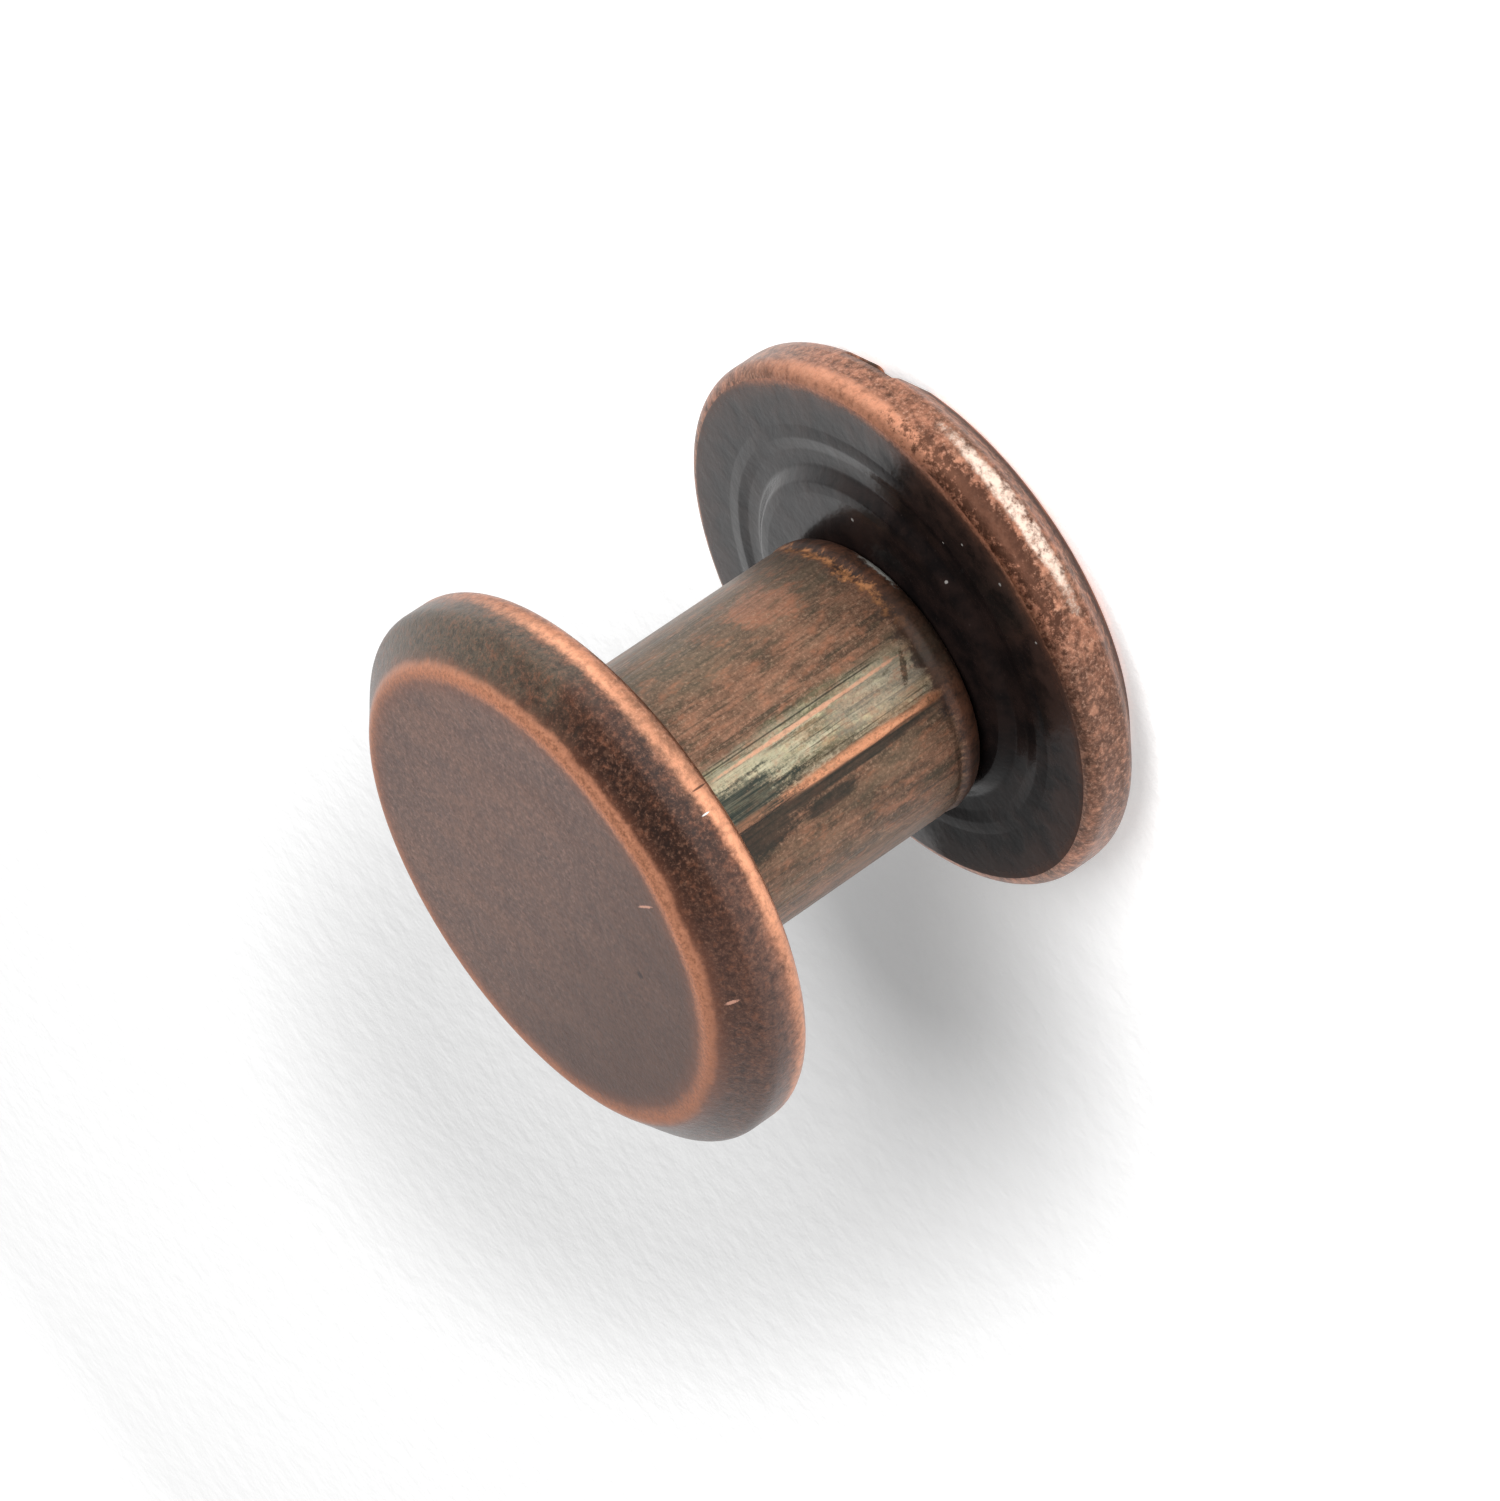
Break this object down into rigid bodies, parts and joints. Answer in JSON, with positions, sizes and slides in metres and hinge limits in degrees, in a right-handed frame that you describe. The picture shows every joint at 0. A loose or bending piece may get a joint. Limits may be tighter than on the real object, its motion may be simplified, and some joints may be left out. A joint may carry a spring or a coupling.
{
  "type": "binding barrel screw",
  "caption": "Binding barrel screw: a flat-headed post with a threaded barrel, screwed onto a slotted flat-headed screw, for clamping sheets between the heads.",
  "frame": {"origin": "on the thread's axis, in the plane of the screw head's outer face, at the mouth of the driver slot", "axes": "+Z along the thread's axis, from the slotted head up through the barrel to the plain head; +X the way the slotted head stands off centre, which is also the way the driver slot runs"},
  "size_m": [0.0106, 0.01, 0.0092],
  "materials": {
    "antique_copper": "antiqued copper plate on brass, matt on the plain flat, lacquered elsewhere, worn bright on the edges"
  },
  "bodies": {
    "screw_body": {"screw": "antique_copper"},
    "post_body": {"post": "antique_copper"}
  },
  "joints": [
    {"name": "unscrew", "type": "slide", "parent": "screw_body", "child": "post_body", "axis": [0, 0, 1], "range_m": [0, 0.0056]}
  ]
}
